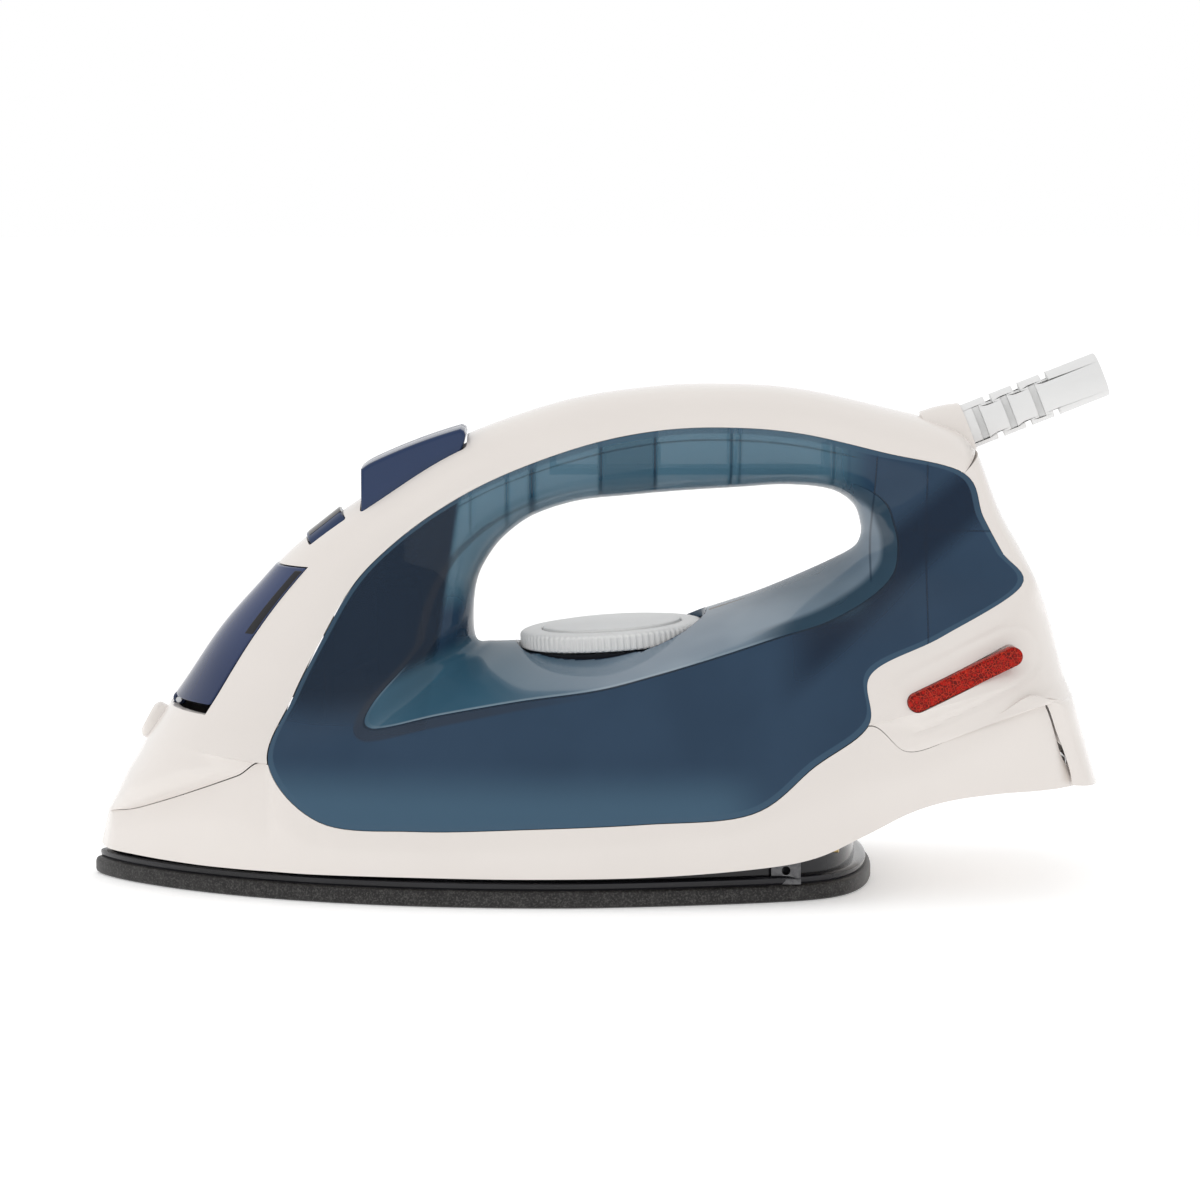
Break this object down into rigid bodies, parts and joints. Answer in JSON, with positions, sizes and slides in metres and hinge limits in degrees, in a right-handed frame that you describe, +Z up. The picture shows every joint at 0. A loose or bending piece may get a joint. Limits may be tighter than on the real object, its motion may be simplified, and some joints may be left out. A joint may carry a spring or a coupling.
{
  "type": "steam iron",
  "caption": "Household steam iron with a pointed soleplate, blue translucent water tank and arched handle, dial, pump buttons, steam slider, fill door and ribbed cord sleeve.",
  "frame": {"origin": "on the flat underside of the soleplate, in the middle plane, midway along the whole iron", "axes": "+X from the nose to the heel, +Y across to the iron's right side seen from the heel, +Z up from the soleplate to the handle"},
  "size_m": [0.284, 0.119, 0.1465],
  "materials": {
    "soleplate_metal": "satin, speckled dark coating",
    "cast_metal": "as cast",
    "bright_steel": "satin",
    "brass": "satin",
    "black_plastic": "gloss",
    "ceramic_body": "matt",
    "dial_plastic": "satin",
    "blue_clear_plastic": "gloss, translucent",
    "black_rubber": "matt",
    "slate_clear_plastic": "gloss, slightly translucent",
    "white_plastic": "gloss",
    "red_lens": "gloss, faceted",
    "lamp_glass": "clear",
    "navy_plastic": "satin",
    "pale_plastic": "translucent white",
    "inner_plastic": "matt",
    "white_sleeve": "soft satin",
    "lead_plastic": "matt"
  },
  "bodies": {
    "iron_body": {"soleplate": "soleplate_metal", "sole_casting": "cast_metal", "heating_element": "bright_steel", "terminal_left": "brass", "terminal_right": "brass", "chamber_cover": "bright_steel", "drip_seat": "brass", "heat_shield": "black_plastic", "sole_screw_front": "bright_steel", "sole_screw_left": "bright_steel", "sole_screw_right": "bright_steel", "sole_clip_left": "bright_steel", "sole_clip_right": "bright_steel", "thermostat_body": "ceramic_body", "thermostat_blade": "brass", "thermal_fuse": "bright_steel", "dial_seat": "black_plastic", "tank_well": "blue_clear_plastic", "tank_floor": "blue_clear_plastic", "tank_left": "blue_clear_plastic", "tank_right": "blue_clear_plastic", "tank_seal": "black_rubber", "fill_funnel": "blue_clear_plastic", "door_pin": "bright_steel", "upper_cover": "white_plastic", "lower_skirt": "white_plastic", "heel_floor": "white_plastic", "rear_cover": "white_plastic", "rear_screw": "bright_steel", "heel_foot_left": "black_rubber", "heel_foot_right": "black_rubber", "lens_left": "red_lens", "lens_right": "red_lens", "pilot_lamp": "lamp_glass", "pump_bracket": "navy_plastic", "spray_cylinder": "pale_plastic", "spray_spring": "bright_steel", "spray_tube": "pale_plastic", "spray_nozzle": "white_plastic", "burst_cylinder": "pale_plastic", "burst_spring": "bright_steel", "burst_tube": "pale_plastic", "handle_frame": "inner_plastic", "sleeve_collar": "white_plastic", "sleeve_nut": "black_plastic", "terminal_block": "ceramic_body", "cord_clamp": "black_plastic", "internal_leads": "lead_plastic"},
    "dial_group": {"dial": "dial_plastic", "dial_cap": "dial_plastic", "thermostat_spindle": "bright_steel"},
    "spray_pump": {"spray_button": "navy_plastic", "spray_piston": "bright_steel"},
    "burst_pump": {"burst_button": "navy_plastic", "burst_piston": "bright_steel"},
    "steam_selector": {"steam_slider": "navy_plastic"},
    "steam_needle": {"steam_rod": "brass"},
    "filler_flap": {"fill_door": "slate_clear_plastic", "door_seal": "black_rubber"},
    "cord_guard": {"cord_sleeve": "white_sleeve"}
  },
  "joints": [
    {"name": "dial_turn", "type": "hinge", "parent": "iron_body", "child": "dial_group", "pos_m": [0.0036, 0, 0.0656], "axis": [-0.0645, 0, 0.9979], "range_deg": [0, 270]},
    {"name": "spray_press", "type": "slide", "parent": "iron_body", "child": "spray_pump", "axis": [0, 0, -1], "range_m": [0, 0.005], "stiffness_N_per_m": 600, "springref_m": -0.003, "deforming": ["spray_spring"]},
    {"name": "burst_press", "type": "slide", "parent": "iron_body", "child": "burst_pump", "axis": [0, 0, -1], "range_m": [0, 0.005], "stiffness_N_per_m": 600, "springref_m": -0.003, "deforming": ["burst_spring"]},
    {"name": "steam_slide", "type": "slide", "parent": "iron_body", "child": "steam_selector", "axis": [0, 1, 0], "range_m": [0, 0.006]},
    {"name": "steam_valve_lift", "type": "slide", "parent": "iron_body", "child": "steam_needle", "axis": [0, 0, 1], "range_m": [0, 0.0024]},
    {"name": "fill_door_hinge", "type": "hinge", "parent": "iron_body", "child": "filler_flap", "pos_m": [-0.1173, 0, 0.0504], "axis": [0, -1, 0], "range_deg": [0, 75]},
    {"name": "cord_swivel", "type": "hinge", "parent": "iron_body", "child": "cord_guard", "pos_m": [0.1025, 0, 0.1259], "axis": [0.9298, 0, 0.3681], "range_deg": [-180, 180]}
  ],
  "couplings": [
    {"joint": "steam_valve_lift", "follows": "steam_slide", "ratio": 0.4}
  ]
}
